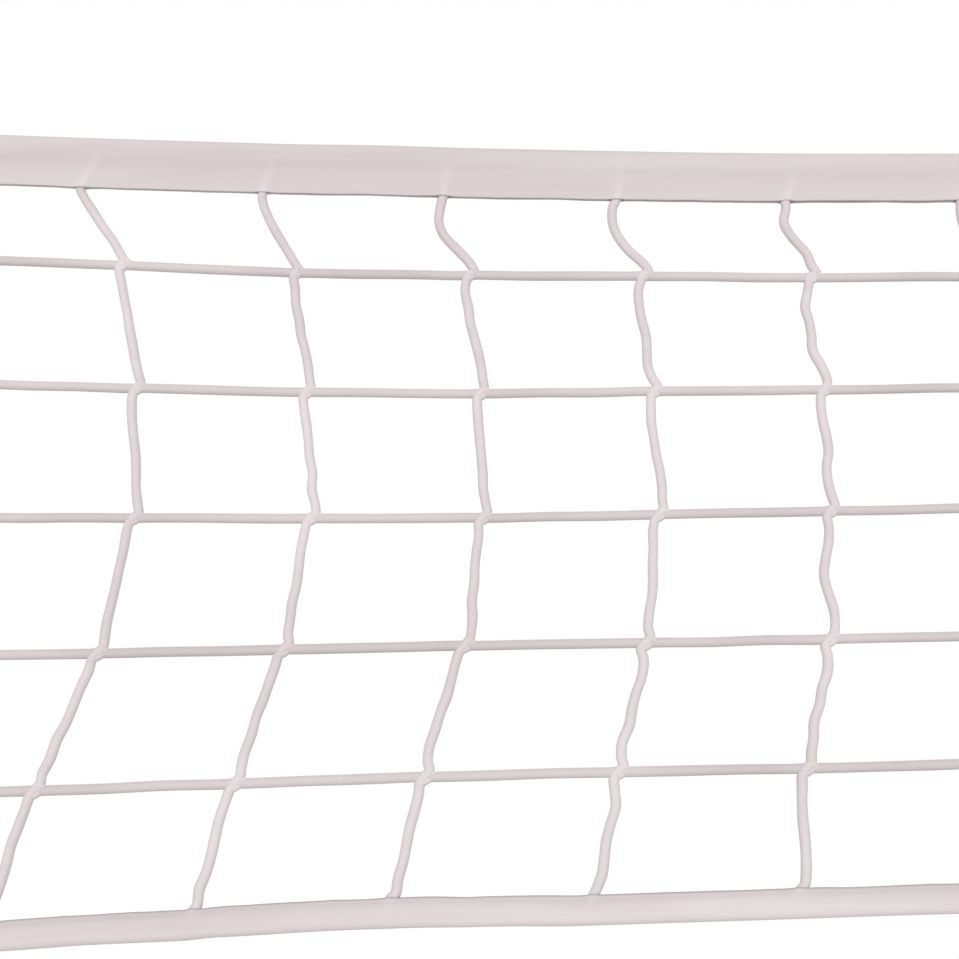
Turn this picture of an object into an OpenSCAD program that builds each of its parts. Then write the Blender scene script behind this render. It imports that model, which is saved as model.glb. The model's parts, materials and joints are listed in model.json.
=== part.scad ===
// Volleyball net of knotted cord, held between two free-standing posts.
// X runs along the net, Y through it and Z up. The origin is on the floor, midway between the posts.

/* [Net] */
// Width of one square of the net
mesh_pitch = 100; // [80:5:120]
// Squares along the net
mesh_columns = 50; // [30:2:50]
// Squares between the head tape and the foot tape
mesh_rows = 6; // [5:1:6]
// Thickness of the net's cord
cord_d = 5; // [3:0.5:6]
// Height of the head tape's top edge at the posts
net_height = 2430; // [2300:10:2550]
// How far the net stops short of its full stretch at its rods
end_slack = 8; // [4:1:20]
// How much narrower the net is at mid-length than at its rods
mid_narrowing = 187; // [130:1:200]
// Sag of the head tape at mid-length
head_sag = 130; // [40:1:150]
// How far the slack squares belly back at mid-length
net_belly = 62; // [0:1:90]
// How far the slack squares sway sideways at mid-length
net_sway = 29; // [0:1:40]

/* [Tapes, ropes and rods] */
// Height of the folded head tape
head_tape_h = 29; // [24:1:60]
// Height of the folded foot tape
foot_tape_h = 14.5; // [14:0.5:40]
// Thickness of one layer of tape
tape_t = 1.2; // [0.8:0.1:2]
// Thickness of the head rope
head_rope_d = 6; // [5:0.5:7]
// Thickness of the foot rope
foot_rope_d = 5; // [4:0.5:7]
// Radius of the loop at each rope's end, at the middle of the rope
rope_loop_r = 14; // [13:0.5:20]
// Wall of the sleeve pressed over each rope's end
rope_sleeve_t = 1.5; // [1:0.25:3]
// Length of the sleeve pressed over each rope's end
rope_sleeve_l = 24; // [15:1:35]
// Diameter of the rod that spreads each end of the net
net_rod_d = 10; // [8:1:16]

/* [Posts and masts] */
// Distance from the net's last cord to the post's axis
post_gap = 350; // [320:5:600]
// Outer diameter of the post's tube
post_d = 50; // [46:1:60]
// Height of the post's tube
post_h = 1350; // [1200:10:1400]
// Outer diameter of the sliding mast
mast_d = 42; // [34:1:42]
// Wall of the mast's tube
mast_wall = 2; // [1.5:0.1:3]
// Wall of the post's tube, which leaves room for its bush
post_wall = 2.5; // [2:0.1:2.5]
// Length of mast left inside the post when the net is at its full height
mast_overlap = 300; // [200:10:400]
// Height of the mast's top above the head tape
mast_above = 70; // [40:5:150]
// Length of the bush in the post's mouth
bush_l = 60; // [40:5:90]
// Thickness of the bush's flange
bush_flange_t = 5; // [3:0.5:8]
// Length of the guide on the mast's lower end
mast_foot_l = 40; // [25:5:70]
// Height of the cap on the mast's top
mast_cap_h = 16; // [10:1:30]

/* [Height clamp] */
// Radial thickness of the clamp's collar
collar_t = 8; // [6:0.5:12]
// Height of the clamp's collar
collar_h = 28; // [24:1:40]
// Distance from the post's top down to the collar
collar_drop = 6; // [4:1:20]
// Width of the slot through the collar and the post
clamp_slot = 3; // [2:0.5:5]
// Thickness of each ear beside the slot
ear_t = 8; // [6:0.5:12]
// How far the ears reach out from the collar
ear_l = 24; // [22:1:36]
// Diameter of the clamp's bolt
clamp_bolt_d = 6; // [5:0.5:8]
// Diameter of the lever's pin
lever_pin_d = 5; // [4:0.5:6]
// Radius of the lever's cam
cam_r = 9; // [8.5:0.5:12]
// Angle of the collar that the closed lever wraps
lever_wrap = 105; // [70:5:130]
// Thickness of the lever's arm
lever_t = 7; // [5:0.5:10]

/* [Bands and tensioner] */
// Height of the bands that hold the ropes
band_h = 24; // [18:1:40]
// Radial thickness of the bands
band_t = 4; // [3:0.5:7]
// Thickness of each band's eye plate
eye_plate_t = 6; // [4:0.5:8]
// Diameter of the hole in each eye plate
eye_hole_d = 12; // [11:0.5:14]
// Diameter of the screws that lock the bands
band_screw_d = 6; // [5:0.5:8]
// Diameter of the tensioner's eye bolts
tension_bolt_d = 6; // [5:0.5:7]
// Diameter of the wire of the tensioner's eyes
tension_wire_d = 5; // [4:0.5:5]
// Radius of the tensioner's eyes, at the middle of the wire
tension_eye_r = 11; // [10.5:0.5:15]
// Outer diameter of the tensioner's barrel
barrel_d = 16; // [13:0.5:22]
// Length of the tensioner's barrel
barrel_l = 90; // [70:5:110]
// Length of bolt that is screwed into each end of the barrel
tension_grip = 28; // [15:1:30]

/* [Bases] */
// Diameter of the cast base
base_d = 600; // [500:10:800]
// Height of the base's rim
rim_h = 24; // [20:1:40]
// Height of the base's crown beside its socket
crown_h = 46; // [44:1:70]
// Outer diameter of the socket
socket_d = 90; // [80:1:110]
// Height of the socket's top
socket_h = 130; // [110:5:200]
// Thickness of the rubber pad under the base
pad_t = 4; // [3:0.5:8]
// Metal left under the post in the socket
socket_floor_t = 10; // [6:1:16]
// Diameter of the screws that hold the post in its socket
socket_screw_d = 10; // [8:1:12]

/* [Transport wheels] */
// Diameter of the wheels
wheel_d = 100; // [80:2:110]
// Width of the wheels
wheel_w = 26; // [20:1:34]
// Thickness of the tyres
tyre_t = 14; // [10:1:18]
// Diameter of the axle
axle_d = 12; // [10:1:16]
// Height of the wheels above the floor while the base stands flat
wheel_lift = 8; // [6:1:14]
// Distance between the outer faces of the two lugs that hold the axle
lug_span = 156; // [130:2:200]
// Thickness of each lug
lug_t = 16; // [12:1:24]

/* [Hidden] */
$fn = 64;

running_gap = 0.05;  // radial play of a shaft in its bore
rest_gap = 0.3;      // space between touching pieces that move apart
side_gap = 0.4;      // play beside a turning piece
loop_gap = 0.9;      // space between a loop and the eye it hangs in
cord_gap = 0.2;      // room round a cord or rope inside its tape
hole_gap = 0.2;      // radial room round a bolt
edge = 3;            // small rounding of cast and turned edges
cuts = 1;            // how far a cut runs past the face it opens

steel = [0.74, 0.75, 0.77];
painted = [0.87, 0.87, 0.88];
iron = [0.33, 0.34, 0.36];
black = [0.13, 0.13, 0.14];
cord_colour = [0.89, 0.85, 0.86];
tape_colour = [0.88, 0.83, 0.84];
rope_colour = [0.93, 0.92, 0.9];
wood = [0.8, 0.66, 0.48];

// The hang of the net: how the slack squares drop, belly back and sway from the head tape down to
// the foot tape, each against the share of the rows that lie above.
row_drop = [[0, 0], [1/6, 0.137], [2/6, 0.289], [3/6, 0.465], [4/6, 0.659], [5/6, 0.839], [1, 1]];
row_back = [[0, 0], [1/6, 0.38], [2/6, 0.77], [3/6, 0.91], [4/6, 0.57], [5/6, 0.25], [1, -0.05]];
row_sway = [[0, 0], [1/6, 0.36], [2/6, 0.55], [3/6, 0.56], [4/6, 0.12], [5/6, -0.64], [1, -1.25]];
head_mouth_sway = -0.36;  // sway where the upright cords leave the head tape
foot_mouth_sway = -1.2;   // and where they enter the foot tape

half_net = mesh_columns*mesh_pitch/2;
end_depth = mesh_rows*mesh_pitch - end_slack;
cord_half = cord_d/2*0.89;  // half the side of a square cord with a round cord's area

head_rope_r = head_rope_d/2;
foot_rope_r = foot_rope_d/2;
head_rope_up = cord_d/2 + head_rope_r + cord_gap;    // from the top cord up to the head rope
foot_rope_down = cord_d/2 + foot_rope_r + cord_gap;  // from the bottom cord down to the foot rope
head_tape_top = head_rope_up + head_rope_r + cord_gap + tape_t;
foot_tape_bottom = -(foot_rope_down + foot_rope_r + cord_gap + tape_t);
head_line_z = net_height - head_tape_top;            // the top cord's height at the rods
foot_line_z = head_line_z - end_depth;
head_rope_z = head_line_z + head_rope_up;
foot_rope_z = foot_line_z - foot_rope_down;

rod_r = net_rod_d/2;
rod_out = cord_d/2 + rod_r + cord_gap;               // from the last cord out to the rod
corner_x = half_net + rod_out + rod_r + cord_gap + tape_t;
sleeve_in = 14;                                      // how far a side tape reaches over the squares
side_tape_z0 = foot_line_z + foot_tape_bottom + foot_tape_h;
side_tape_z1 = net_height - head_tape_h;

post_x = half_net + post_gap;
post_r = post_d/2;
mast_r = mast_d/2;
post_bore_r = post_r - post_wall;
post_z0 = pad_t + socket_floor_t;
mast_z0 = post_h - mast_overlap;
mast_z1 = net_height + mast_above;

collar_r = post_r + collar_t;
collar_z = post_h - collar_drop - collar_h/2;
slit_depth = collar_drop + collar_h + 14;
ear_out = clamp_slot/2 + ear_t;
bolt_x = -(collar_r + ear_l - 10);
washer_t = 1.5;
nut_h = 5;
clamp_nut_d = 2*clamp_bolt_d;
pin_y = -(ear_out + washer_t + cam_r + rest_gap);
eye_wall = 3;
cam_eye_r = lever_pin_d/2 + eye_wall;
cam_eye_h = clamp_bolt_d + 0.8;
lever_open = 150;                                    // how far the lever swings open
lever_in_r = collar_r + 3;

band_r = mast_r + band_t;
eye_hole_r = eye_hole_d/2;
eye_x = band_r + 13;
eye_tip_r = eye_hole_r + 5;
band_boss_l = 7;                                     // boss for a band's screw

wire_r = tension_wire_d/2;
tension_bolt_r = tension_bolt_d/2;
post_eye_x = eye_x + eye_hole_r - wire_r - loop_gap + tension_eye_r;  // middle of the post-side eye
shank_l = 36;                                        // bolt that shows outside the barrel
barrel_x0 = post_eye_x + tension_eye_r + shank_l;
barrel_x1 = barrel_x0 + barrel_l;
rope_eye_x = barrel_x1 + shank_l + tension_eye_r;    // middle of the rope-side eye
tension_nut_h = 5;

base_r = base_d/2;
socket_r = socket_d/2;
screw_z = socket_h - 28;
wheel_r = wheel_d/2;
axle_z = wheel_r + wheel_lift;
axle_x = -(base_r + wheel_r - 2);
wheel_y = lug_span/2 + 2 + wheel_w/2;
axle_l = lug_span + 2*(2 + wheel_w + 7);
lug_r = axle_d/2 + 9;

left = -1;
right = 1;
front = -1;
back = 1;

// ---- How the net hangs ----

function clamped(x) = max(-half_net, min(half_net, x));

// 0 at mid-length and 1 at the rods
function spread(x) = pow(sin(90*clamped(x)/half_net), 2);

// 1 over the slack middle and 0 at the rods
function slack(x) = 1 - pow(spread(x), 3);

function top_z(x) = head_line_z - head_sag*(1 - spread(x));
function depth_at(x) = end_depth - mid_narrowing*(1 - spread(x));
function row_z(f, x) = top_z(x) - depth_at(x)*(lookup(f, row_drop)*(1 - spread(x)) + f*spread(x));
function row_y(f, x) = net_belly*lookup(f, row_back)*slack(x);
function swayed(x, share) = x + net_sway*share*slack(x);
function foot_y(x) = row_y(1, x);
function foot_z(x) = row_z(1, x);
function column_x(c) = (c - mesh_columns/2)*mesh_pitch;

function below_head_line(x, z) = [x, 0, top_z(x) + z];
function above_foot_line(x, z) = [x, foot_y(x), foot_z(x) + z];

// The levels are the rows of crossings and the two tapes' mouths, just after the first row and just
// before the last
last_level = mesh_rows + 2;
function is_mouth(n) = n == 1 || n == last_level - 1;
function mesh_point(c, n) =
  let (x = column_x(c), f = (n - 1)/mesh_rows)
  n == 0 ? below_head_line(x, 0) :
  n == 1 ? below_head_line(swayed(x, head_mouth_sway), head_tape_top - head_tape_h) :
  n == last_level - 1 ? above_foot_line(swayed(x, foot_mouth_sway), foot_tape_bottom + foot_tape_h) :
  n == last_level ? above_foot_line(swayed(x, lookup(1, row_sway)), 0) :
  [swayed(x, lookup(f, row_sway)), row_y(f, x), row_z(f, x)];

tape_xs = concat([-corner_x], [for (c = [0 : mesh_columns]) column_x(c)], [corner_x]);

// ---- Shared shapes ----

function arc(x, y, r, a0, a1, steps = 8) =
  [for (i = [0 : steps]) let (a = a0 + (a1 - a0)*i/steps) [x + r*cos(a), y + r*sin(a)]];

function halves(a, b, c, d) = [[a, b, c], [a, c, d]];

// A skin over rings of points, each ring anticlockwise seen from ahead, with its halves matched across
module sweep(rings) {
  n = len(rings[0]);
  last = len(rings) - 1;
  skin = [
    for (i = [0 : last - 1], k = [0 : n - 1])
      let (a = i*n + k, b = i*n + (k + 1)%n)
      each halves(a, a + n, b + n, b)
  ];
  ends = [
    for (k = [0 : n/2 - 2])
      let (m = n - 2 - k, e = last*n)
      each concat(halves(k, k + 1, m, m + 1), halves(e + m + 1, e + m, e + k + 1, e + k))
  ];
  polyhedron([for (ring = rings) each ring], concat(skin, ends));
}

module tube(d, wall, z0, z1) {
  translate([0, 0, z0])
    difference() {
      cylinder(d = d, h = z1 - z0);
      translate([0, 0, -cuts]) cylinder(d = d - 2*wall, h = z1 - z0 + 2*cuts);
    }
}

module along_x(x0, x1, r) {
  translate([x0, 0, 0]) rotate([0, 90, 0]) cylinder(r = r, h = x1 - x0);
}

module along_y(y0, y1, r) {
  translate([0, y0, 0]) rotate([-90, 0, 0]) cylinder(r = r, h = y1 - y0);
}

module ring(r, wire) {
  rotate_extrude() translate([r, 0]) circle(r = wire, $fn = 32);
}

module hex_nut(across, h, bore) {
  difference() {
    cylinder(d = across, h = h, $fn = 6);
    translate([0, 0, -cuts]) cylinder(d = bore, h = h + 2*cuts);
  }
}

// Puts a post's own frame, whose +X points at the net, in its place
module at_post(side) {
  if (side == left)
    translate([-post_x, 0, 0]) children();
  else
    translate([post_x, 0, 0]) mirror([1, 0, 0]) children();
}

// ---- Net ----

// Eight corners at each point: left and right, then low and high, then front and back
function point_corners(c, n) = [
  for (y = [-1, 1], z = [-1, 1], x = [-1, 1]) mesh_point(c, n) + cord_half*[x, y, z]
];
function corner_at(c, n, k) = (n*(mesh_columns + 1) + c)*8 + k;
function mesh_face(c0, n0, k, c1, n1, m) =
  halves(corner_at(c0, n0, k[0]), corner_at(c0, n0, k[1]), corner_at(c1, n1, m[0]), corner_at(c1, n1, m[1]));

function point_faces(c, n) = concat(
  mesh_face(c, n, [0, 2], c, n, [3, 1]),
  mesh_face(c, n, [4, 5], c, n, [7, 6]),
  c == 0 || is_mouth(n) ? mesh_face(c, n, [0, 4], c, n, [6, 2]) : [],
  c == mesh_columns || is_mouth(n) ? mesh_face(c, n, [1, 3], c, n, [7, 5]) : [],
  n == 0 ? mesh_face(c, n, [2, 6], c, n, [7, 3]) : [],
  n == last_level ? mesh_face(c, n, [0, 1], c, n, [5, 4]) : []
);
function level_cord_faces(c, n) = is_mouth(n) ? [] : concat(
  mesh_face(c, n, [1, 3], c + 1, n, [2, 0]),
  mesh_face(c + 1, n, [4, 6], c, n, [7, 5]),
  mesh_face(c, n, [3, 7], c + 1, n, [6, 2]),
  mesh_face(c + 1, n, [0, 4], c, n, [5, 1])
);
function upright_cord_faces(c, n) = concat(
  mesh_face(c, n, [0, 1], c, n + 1, [3, 2]),
  mesh_face(c, n + 1, [6, 7], c, n, [5, 4]),
  mesh_face(c, n + 1, [2, 6], c, n, [4, 0]),
  mesh_face(c, n, [1, 5], c, n + 1, [7, 3])
);

module net_mesh() {
  points = [for (n = [0 : last_level], c = [0 : mesh_columns]) each point_corners(c, n)];
  around = [for (n = [0 : last_level], c = [0 : mesh_columns]) each point_faces(c, n)];
  level = [for (n = [0 : last_level], c = [0 : mesh_columns - 1]) each level_cord_faces(c, n)];
  upright = [for (n = [0 : last_level - 1], c = [0 : mesh_columns]) each upright_cord_faces(c, n)];
  color(cord_colour) polyhedron(points, concat(around, level, upright));
}

// A tape folded over its rope, as a section with the fold at the top
function fold(half, h) = let (out = half + tape_t) [
  [out, -h], [out, -tape_t], [half, 0], [-half, 0], [-out, -tape_t], [-out, -h],
  [-half, -h], [-half, -tape_t - 0.8], [0.8 - half, -tape_t], [half - 0.8, -tape_t], [half, -tape_t - 0.8], [half, -h]
];

module head_tape() {
  section = fold(head_rope_r + cord_gap, head_tape_h);
  color(tape_colour)
    sweep([for (x = tape_xs) [for (p = section) [x, p[0], p[1] + top_z(x) + head_tape_top]]]);
}

module foot_tape() {
  section = fold(foot_rope_r + cord_gap, foot_tape_h);
  color(tape_colour)
    sweep([for (x = tape_xs) [for (p = section) [x, foot_y(x) - p[0], foot_z(x) + foot_tape_bottom - p[1]]]]);
}

module side_tape(side) {
  pocket = rod_r + cord_gap;
  lips = cord_d/2 + cord_gap;
  color(tape_colour)
    translate([side*half_net, 0, side_tape_z0])
      scale([side, 1, 1])
        linear_extrude(side_tape_z1 - side_tape_z0)
          difference() {
            union() {
              translate([rod_out, 0]) circle(r = pocket + tape_t);
              translate([-sleeve_in, -lips - tape_t]) square([sleeve_in + rod_out, 2*(lips + tape_t)]);
            }
            translate([rod_out, 0]) circle(r = pocket);
            translate([-sleeve_in - cuts, -lips]) square([sleeve_in + cuts + rod_out, 2*lips]);
          }
}

module net_rod(side) {
  color(wood)
    translate([side*(half_net + rod_out), 0, side_tape_z0 + rest_gap])
      cylinder(r = rod_r, h = side_tape_z1 - side_tape_z0 - 2*rest_gap);
}

// ---- Ropes ----

// Where a rope's end loop has its middle, from the post's axis
function plate_loop_x(rope_r) = eye_x + eye_hole_r - rope_r - loop_gap + rope_loop_r;
tension_loop_x = rope_eye_x + tension_eye_r - wire_r - head_rope_r - loop_gap + rope_loop_r;
function head_loop_x(side) = side == left ? plate_loop_x(head_rope_r) : tension_loop_x;

// One end of a rope, from its tail back to its run: along the post's X, across, and its heading
function rope_end(loop_x, rope_r) =
  let (aside = rope_r + cord_gap, mouth = loop_x + 1.35*rope_loop_r, tail = mouth + rope_sleeve_l)
  concat(
    [[tail, aside, 180], [mouth, aside, 180]],
    [for (a = [50 : 26 : 310]) [loop_x + rope_loop_r*cos(a), rope_loop_r*sin(a), a + 90]],
    [[mouth, -aside, 360], [tail, -aside, 360]]
  );

function rope_ring(x, y, z, heading, rope_r) = [
  for (a = [22.5 : 45 : 359])
    [x - rope_r*cos(a)*sin(heading), y + rope_r*cos(a)*cos(heading), z + rope_r*sin(a)]
];

module rope(rope_r, left_x, right_x, ys, zs) {
  start = rope_end(left_x, rope_r);
  end = rope_end(right_x, rope_r);
  last = len(end) - 1;
  sweep(concat(
    [for (p = start) rope_ring(p[0] - post_x, p[1], zs[0], p[2], rope_r)],
    [for (i = [0 : len(tape_xs) - 1]) rope_ring(tape_xs[i], ys[i], zs[i], 0, rope_r)],
    [for (i = [0 : last]) let (p = end[last - i]) rope_ring(post_x - p[0], p[1], zs[0], -p[2], rope_r)]
  ));
}

module head_rope() {
  color(rope_colour)
    rope(
      head_rope_r, head_loop_x(left), head_loop_x(right),
      [for (x = tape_xs) 0],
      [for (x = tape_xs) top_z(x) + head_rope_up]
    );
}

module foot_rope() {
  color(rope_colour)
    rope(
      foot_rope_r, plate_loop_x(foot_rope_r), plate_loop_x(foot_rope_r),
      [for (x = tape_xs) foot_y(x)],
      [for (x = tape_xs) foot_z(x) - foot_rope_down]
    );
}

// A sleeve with a bore for the rope's run and one for its tail
module rope_sleeve(loop_x, rope_r, z) {
  start = loop_x + 1.35*rope_loop_r + 1;
  aside = rope_r + cord_gap;
  outer_r = rope_r + rope_sleeve_t;
  translate([0, 0, z])
    difference() {
      union() {
        for (y = [-aside, aside])
          translate([0, y, 0]) along_x(start, start + rope_sleeve_l - 4, outer_r);
        translate([start, -aside, -outer_r]) cube([rope_sleeve_l - 4, 2*aside, 2*outer_r]);
      }
      for (y = [-aside, aside])
        translate([0, y, 0]) along_x(start - cuts, start + rope_sleeve_l, rope_r + running_gap);
    }
}

module rope_sleeves() {
  color(steel)
    for (side = [left, right])
      at_post(side) {
        rope_sleeve(head_loop_x(side), head_rope_r, head_rope_z);
        rope_sleeve(plate_loop_x(foot_rope_r), foot_rope_r, foot_rope_z);
      }
}

// ---- Tensioner between the right mast and the head rope ----

module at_tensioner() {
  at_post(right) translate([0, 0, head_rope_z]) children();
}

module tensioner_barrel() {
  window_l = barrel_l - 2*tension_grip + 8;
  color(steel)
    at_tensioner()
      difference() {
        along_x(barrel_x0, barrel_x1, barrel_d/2);
        along_x(barrel_x0 - cuts, barrel_x1 + cuts, tension_bolt_r + running_gap);
        translate([barrel_x0 + (barrel_l - window_l)/2, -barrel_d, -tension_bolt_r - 1])
          cube([window_l, 2*barrel_d, 2*tension_bolt_r + 2]);
      }
}

module tensioner_post_eye() {
  color(steel)
    at_tensioner() {
      translate([post_eye_x, 0, 0]) ring(tension_eye_r, wire_r);
      along_x(post_eye_x + tension_eye_r, barrel_x0 + tension_grip, tension_bolt_r);
    }
}

module tensioner_rope_eye() {
  color(steel)
    at_tensioner() {
      translate([rope_eye_x, 0, 0]) rotate([90, 0, 0]) ring(tension_eye_r, wire_r);
      along_x(barrel_x1 - tension_grip, rope_eye_x - tension_eye_r, tension_bolt_r);
    }
}

module tensioner_nuts() {
  color(steel)
    at_tensioner()
      for (x = [barrel_x0 - tension_nut_h - rest_gap, barrel_x1 + rest_gap])
        translate([x, 0, 0]) rotate([0, 90, 0]) hex_nut(1.9*tension_bolt_d, tension_nut_h, tension_bolt_d);
}

// ---- Masts, which slide in the posts ----

module mast(side) {
  color(painted) at_post(side) tube(mast_d, mast_wall, mast_z0, mast_z1);
}

// A guide round the mast's lower end, with a plug that closes the tube
module mast_foot(side) {
  plug_r = mast_r - mast_wall;
  guide_r = post_bore_r - running_gap;
  flange = 4;
  color(black)
    at_post(side)
      translate([0, 0, mast_z0])
        rotate_extrude()
          polygon([
            [0, -flange], [guide_r - 1, -flange], [guide_r, 1 - flange], [guide_r, mast_foot_l],
            [mast_r, mast_foot_l], [mast_r, 0], [plug_r, 0], [plug_r, 20], [0, 20]
          ]);
}

module mast_cap(side) {
  plug_r = mast_r - mast_wall;
  cap_r = mast_r + 3;
  skirt = 14;
  color(black)
    at_post(side)
      translate([0, 0, mast_z1])
        rotate_extrude()
          polygon(concat(
            [[0, -20], [plug_r, -20], [plug_r, 0], [mast_r, 0], [mast_r, -skirt], [cap_r, -skirt]],
            arc(cap_r - edge, mast_cap_h/2 - edge, edge, 0, 60, 4),
            [[cap_r*0.5, mast_cap_h*0.92], [cap_r*0.2, mast_cap_h], [0, mast_cap_h]]
          ));
}

// A band with an eye plate on the net's side and a screw boss behind
module band(side, z, colour) {
  color(colour)
    at_post(side)
      translate([0, 0, z])
        difference() {
          union() {
            translate([0, 0, -band_h/2]) cylinder(r = band_r, h = band_h);
            translate([mast_r, -eye_plate_t/2, -eye_tip_r]) cube([eye_x - mast_r, eye_plate_t, 2*eye_tip_r]);
            translate([eye_x, 0, 0]) along_y(-eye_plate_t/2, eye_plate_t/2, eye_tip_r);
            along_x(-band_r - band_boss_l, -mast_r, band_screw_d);
          }
          translate([0, 0, -band_h]) cylinder(r = mast_r, h = 2*band_h);
          translate([eye_x, 0, 0]) along_y(-eye_plate_t, eye_plate_t, eye_hole_r);
          along_x(-band_r - band_boss_l - cuts, 0, band_screw_d/2 + hole_gap);
        }
}

module head_band(side) {
  band(side, head_rope_z, steel);
}

module foot_band(side) {
  band(side, foot_rope_z, steel);
}

module band_screws(side) {
  head_x = -band_r - band_boss_l;
  color(steel)
    at_post(side)
      for (z = [head_rope_z, foot_rope_z])
        translate([0, 0, z])
          difference() {
            union() {
              along_x(head_x - 1, -mast_r - rest_gap, band_screw_d/2);
              along_x(head_x - 0.6*band_screw_d, head_x, band_screw_d*0.85);
            }
            translate([head_x - 0.6*band_screw_d - cuts, 0, 0])
              rotate([0, 90, 0])
                cylinder(d = band_screw_d*0.9, h = 3 + cuts, $fn = 6);
          }
}

// ---- Posts and their height clamps ----

module post(side) {
  color(painted)
    at_post(side)
      difference() {
        tube(post_d, post_wall, post_z0, post_h);
        translate([-post_d, -clamp_slot/2, post_h - slit_depth]) cube([post_d, clamp_slot, slit_depth + cuts]);
      }
}

module post_bush(side) {
  bore_r = mast_r + running_gap;
  flange_r = post_r + 1;
  color(black)
    at_post(side)
      translate([0, 0, post_h])
        difference() {
          rotate_extrude()
            polygon([
              [bore_r, 1 - bush_l], [bore_r + 1, -bush_l], [post_bore_r, -bush_l], [post_bore_r, 0],
              [flange_r, 0], [flange_r, bush_flange_t - 2], [flange_r - 2, bush_flange_t],
              [bore_r + 1, bush_flange_t], [bore_r, bush_flange_t - 1]
            ]);
          translate([-post_d, -clamp_slot/2, -bush_l - cuts]) cube([post_d, clamp_slot, bush_l + cuts]);
        }
}

module clamp_collar(side) {
  color(iron)
    at_post(side)
      translate([0, 0, collar_z])
        difference() {
          union() {
            translate([0, 0, -collar_h/2]) cylinder(r = collar_r, h = collar_h);
            translate([-collar_r - ear_l, -ear_out, -collar_h/2]) cube([collar_r + ear_l, 2*ear_out, collar_h]);
          }
          translate([0, 0, -collar_h]) cylinder(r = post_r, h = 2*collar_h);
          translate([-collar_r - ear_l - cuts, -clamp_slot/2, -collar_h])
            cube([collar_r + ear_l + cuts, clamp_slot, 2*collar_h]);
          translate([bolt_x, 0, 0]) along_y(-ear_out - cuts, ear_out + cuts, clamp_bolt_d/2 + hole_gap);
        }
}

// A bolt whose eye takes the lever's pin
module clamp_bolt(side) {
  color(steel)
    at_post(side)
      translate([bolt_x, 0, collar_z])
        difference() {
          union() {
            along_y(pin_y, ear_out + washer_t + nut_h + 4, clamp_bolt_d/2);
            translate([0, pin_y, -cam_eye_h/2]) cylinder(r = cam_eye_r, h = cam_eye_h);
          }
          translate([0, pin_y, -cam_eye_h]) cylinder(r = lever_pin_d/2 + running_gap, h = 2*cam_eye_h);
        }
}

module clamp_washer() {
  rotate([-90, 0, 0])
    difference() {
      cylinder(r = clamp_nut_d*0.6, h = washer_t);
      translate([0, 0, -cuts]) cylinder(d = clamp_bolt_d, h = washer_t + 2*cuts);
    }
}

module clamp_nuts() {
  color(steel)
    for (side = [left, right])
      at_post(side)
        translate([bolt_x, 0, collar_z]) {
          translate([0, -ear_out - washer_t, 0]) clamp_washer();
          translate([0, ear_out, 0]) clamp_washer();
          translate([0, ear_out + washer_t, 0]) rotate([-90, 0, 0]) hex_nut(clamp_nut_d, nut_h, clamp_bolt_d);
        }
}

// The lever's outline seen from above, in the post's frame: the arm's outside, its round tip, its
// inside and the cam
module lever_outline() {
  a0 = atan2(pin_y, bolt_x) + 22;
  a1 = a0 + lever_wrap;
  tip_r = lever_t/2;
  mid_r = lever_in_r + tip_r;
  polygon(concat(
    arc(0, 0, lever_in_r + lever_t, a0, a1, 16),
    arc(mid_r*cos(a1), mid_r*sin(a1), tip_r, a1 + 20, a1 + 160, 6),
    arc(0, 0, lever_in_r, a1, a0, 16),
    arc(bolt_x, pin_y, cam_r, 0, 270, 18)
  ));
}

module clamp_lever(side) {
  lever_h = collar_h - 4;
  slot_h = cam_eye_h + 2*side_gap;
  reach = cam_r + 10;
  color(black)
    at_post(side)
      translate([0, 0, collar_z])
        difference() {
          translate([0, 0, -lever_h/2]) linear_extrude(lever_h) lever_outline();
          translate([bolt_x, pin_y, -lever_h]) cylinder(d = lever_pin_d, h = 2*lever_h);
          translate([bolt_x, pin_y, -slot_h/2]) cylinder(r = cam_eye_r + 1, h = slot_h);
          translate([bolt_x, pin_y, -slot_h/2])
            linear_extrude(slot_h)
              polygon(concat([[0, 0]], arc(0, 0, reach, 55, 90 + lever_open + 35, 12)));
        }
}

module lever_pin(side) {
  color(steel)
    at_post(side)
      translate([bolt_x, pin_y, collar_z - collar_h/2 + 2])
        cylinder(d = lever_pin_d, h = collar_h - 4);
}

// ---- Bases ----

module base(side) {
  rim_z = pad_t + rim_h;
  crown_r = socket_r + 26;
  color(iron)
    at_post(side)
      difference() {
        union() {
          rotate_extrude()
            polygon(concat(
              [[0, pad_t]],
              arc(base_r - edge, pad_t + edge, edge, -90, 0, 4),
              arc(base_r - 2*edge, rim_z - 2*edge, 2*edge, 0, 80, 6),
              [[crown_r + 60, crown_h - 5]],
              [[crown_r, crown_h]],
              arc(socket_r + 18, crown_h + 18, 18, -90, -180, 6),
              arc(socket_r - edge, socket_h - edge, edge, 0, 90, 4),
              [[0, socket_h]]
            ));
          for (y = [front, back])
            translate([0, y*(lug_span - lug_t)/2, 0]) {
              translate([axle_x, 0, axle_z]) along_y(-lug_t/2, lug_t/2, lug_r);
              rotate([90, 0, 0])
                translate([0, 0, -lug_t/2])
                  linear_extrude(lug_t)
                    polygon([
                      [axle_x, axle_z - lug_r], [-base_r*0.93, pad_t + 2], [-base_r*0.8, pad_t + 2],
                      [-base_r*0.8, rim_z], [-base_r*0.9, rim_z + 8], [axle_x, axle_z + lug_r]
                    ]);
            }
        }
        translate([0, 0, post_z0]) cylinder(r = post_r, h = socket_h);
        translate([axle_x, 0, axle_z]) along_y(-lug_span, lug_span, axle_d/2);
        for (a = [60, 180, 300])
          rotate([0, 0, a]) translate([0, 0, screw_z]) along_x(0, socket_r + cuts, socket_screw_d/2);
      }
}

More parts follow.
